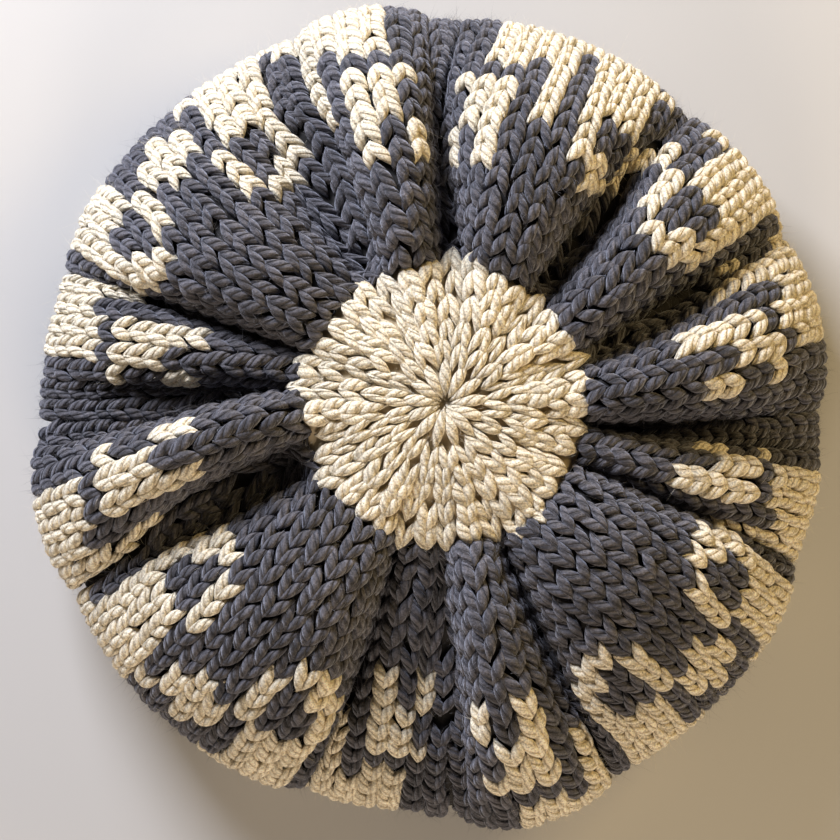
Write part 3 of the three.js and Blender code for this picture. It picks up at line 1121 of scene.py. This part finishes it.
def spike_template():
    """A closed spike of two segments: its ring, how far along it lies, and its triangles."""
    bm = bmesh.new()
    bmesh.ops.create_cone(bm, cap_ends=True, segments=3, radius1=1, radius2=0, depth=1)
    side_edges = [edge for edge in bm.edges if abs(edge.verts[0].co.z - edge.verts[1].co.z) > 0.5]
    bmesh.ops.bisect_edges(bm, edges=side_edges, cuts=1)
    bmesh.ops.connect_verts(bm, verts=[vertex for vertex in bm.verts if abs(vertex.co.z) < 0.1])
    points, triangles = points_and_triangles(bm)
    return points + [0, 0, 0.5], triangles


spike, spike_triangles = spike_template()


def fibres_from(name, roots, normals, length, material):
    """Fibres that start at the roots, slant any way and bend on as they grow."""
    count, size = len(roots), len(spike)
    lengths = length * rng.lognormal(0, length_spread, count).clip(*length_limits)
    sideways = np.cross(normals, rng.normal(0, 1, (count, 3)))
    sideways /= np.linalg.norm(sideways, axis=1, keepdims=True)
    upright = rng.uniform(*upright_range, (count, 1))
    along = normals * upright + sideways * rng.uniform(*slant_range, (count, 1))
    along /= np.linalg.norm(along, axis=1, keepdims=True)
    first = np.cross(along, sideways + 0.3 * normals)
    first /= np.linalg.norm(first, axis=1, keepdims=True)
    second = np.cross(along, first)
    bend = rng.normal(0, bend_spread, (count, 3)) + 0.25 * sideways
    s = spike[None, :, 2:3]
    run = (along[:, None] * s + bend[:, None] * s**2 * bend_share) * lengths[:, None, None]
    girth = (first[:, None] * spike[None, :, 0:1] + second[:, None] * spike[None, :, 1:2]) * fibre_thickness
    points = (roots[:, None] + run + girth).reshape(-1, 3)
    triangles = numbered_copies(spike_triangles, size, count)
    strand = np.tile([1.0, 0.0, 0.0], (count * size, 1))
    return joined_piece(name, [Batch(points, triangles, strand, random_tones(size, count))], material)


fibre_rows = (0, 18)
fibres_per_stitch = 6
rim_fibres_per_stitch = 22
halo_rows = 4  # above the rim, where the outline is
root_height = 1.2 * MM


def body_fibres():
    """Roots and directions of fibres on the body, apart for charcoal and cream stitches."""
    gathered = {False: [], True: []}
    for index, net in enumerate(nets):
        for cream in (False, True):
            columns, rows = stitches_of_colour(index, *fibre_rows, cream)
            repeats = np.where(rows > rim_row - halo_rows, rim_fibres_per_stitch, fibres_per_stitch)
            columns, rows = np.repeat(columns, repeats), np.repeat(rows, repeats)
            column = columns + rng.uniform(0, 1, len(columns))
            row = rows + rng.uniform(0, 1, len(rows))
            points, normals = on_net(net, column, row)
            gathered[cream].append((points + normals * root_height, normals))
    return {cream: [np.concatenate(part) for part in zip(*found)] for cream, found in gathered.items()}


fibre_roots = body_fibres()
# The charcoal fibres' lighter wool is painted light that they catch.
charcoal_fibres = fibres_from("charcoal_fibres", *fibre_roots[False], fibre_length, charcoal_down_painted_light)
cream_fibres = fibres_from("cream_fibres", *fibre_roots[True], fibre_length, cream_down)

disc_fibre_count = 900
disc_fibre_length = 0.8 * fibre_length
disc_fibre_reach = disc_radius + 1.5 * MM
spot_angles = rng.uniform(0, 360, disc_fibre_count)
spot_distances = disc_fibre_reach * np.sqrt(rng.random(disc_fibre_count))
spots, spot_normals = on_disc(spot_angles, spot_distances)
spots = spots + spot_normals * MM
disc_fibres = fibres_from("disc_fibres", spots, spot_normals, disc_fibre_length, cream_down)

# %% [markdown]
# Each piece rides on the one body of the row and stands for a solid of the frame.

# %% What the pieces stand for
knitted_pieces = (plain_rows, ground_rows, pattern_rows, underside_rows)
for piece in (*knitted_pieces, body_cloth, charcoal_fibres, cream_fibres):
    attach(piece, "root")
    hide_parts("pleated_body")
for piece in (disc_stitches, disc_cloth, disc_fibres):
    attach(piece, "root")
    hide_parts("crown_disc")
for piece in (band_stitches, band_cloth):
    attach(piece, "root")
    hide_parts("ribbed_band")
